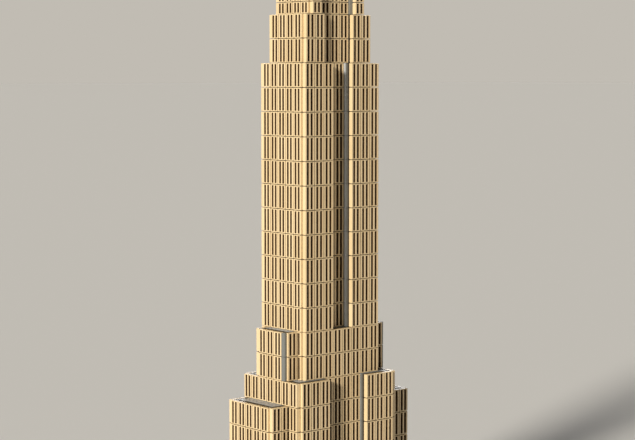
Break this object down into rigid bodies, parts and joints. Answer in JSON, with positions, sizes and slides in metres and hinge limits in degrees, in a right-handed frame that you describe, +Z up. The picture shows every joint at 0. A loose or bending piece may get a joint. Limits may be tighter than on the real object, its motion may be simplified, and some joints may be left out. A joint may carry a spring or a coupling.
{
  "type": "miniature skyscraper model",
  "caption": "Desk-top model of a stepped art-deco tower in interlocking bricks, clad in upright grille tiles, on a flat plinth.",
  "frame": {"origin": "middle of the plinth's flat underside", "axes": "+Z up along the tower, the wide front faces -Y, the street entrance faces -X"},
  "size_m": [0.176, 0.128, 0.552],
  "materials": {
    "tan_abs": "moulded ABS, glossy",
    "grey_abs": "moulded ABS, glossy",
    "dark_grey_abs": "moulded ABS, glossy",
    "black_abs": "moulded ABS, glossy"
  },
  "bodies": {
    "root": {"base_plate": "black_abs", "plinth_bricks": "black_abs", "plinth_rim_tiles": "black_abs", "name_tile": "black_abs", "street_tiles": "dark_grey_abs", "pavement_tiles": "grey_abs", "podium_core": "grey_abs", "podium_plates": "grey_abs", "podium_long_tiles": "tan_abs", "podium_end_tiles": "tan_abs", "podium_roof": "grey_abs", "entrance_pillars": "tan_abs", "entrance_lintel": "tan_abs", "entrance_doors": "black_abs", "wing_cores": "grey_abs", "wing_plates": "grey_abs", "left_wing_tiles": "tan_abs", "right_wing_tiles": "tan_abs", "wing_roofs": "grey_abs", "lower_core": "grey_abs", "lower_pier_plates": "grey_abs", "lower_flank_plates": "grey_abs", "lower_middle_plates": "grey_abs", "lower_pier_tiles": "tan_abs", "lower_flank_tiles": "tan_abs", "lower_middle_tiles": "tan_abs", "lower_roof": "grey_abs", "shoulder_cores": "grey_abs", "shoulder_plates": "grey_abs", "shoulder_tiles": "tan_abs", "shoulder_roofs": "grey_abs", "band_plates": "grey_abs", "band_tiles": "tan_abs", "shaft_core_bricks": "grey_abs", "shaft_core_plates": "grey_abs", "shaft_pier_plates": "grey_abs", "shaft_recess_plates": "grey_abs", "shaft_flank_plates": "grey_abs", "shaft_pier_tiles": "tan_abs", "shaft_recess_tiles": "tan_abs", "shaft_flank_tiles": "tan_abs", "upper_core": "grey_abs", "upper_plates": "grey_abs", "upper_front_tiles": "tan_abs", "upper_flank_tiles": "tan_abs", "crown_core": "grey_abs", "crown_plates": "grey_abs", "crown_tiles": "tan_abs", "crown_roof": "grey_abs", "deck_core": "grey_abs", "deck_plates": "grey_abs", "deck_tiles": "tan_abs", "deck_floor": "tan_abs", "mast_base": "grey_abs", "mast_bricks": "grey_abs", "mast_wings": "grey_abs", "mast_ring": "grey_abs", "mast_dome": "grey_abs", "mast_cone": "grey_abs", "antenna": "grey_abs"}
  },
  "joints": []
}
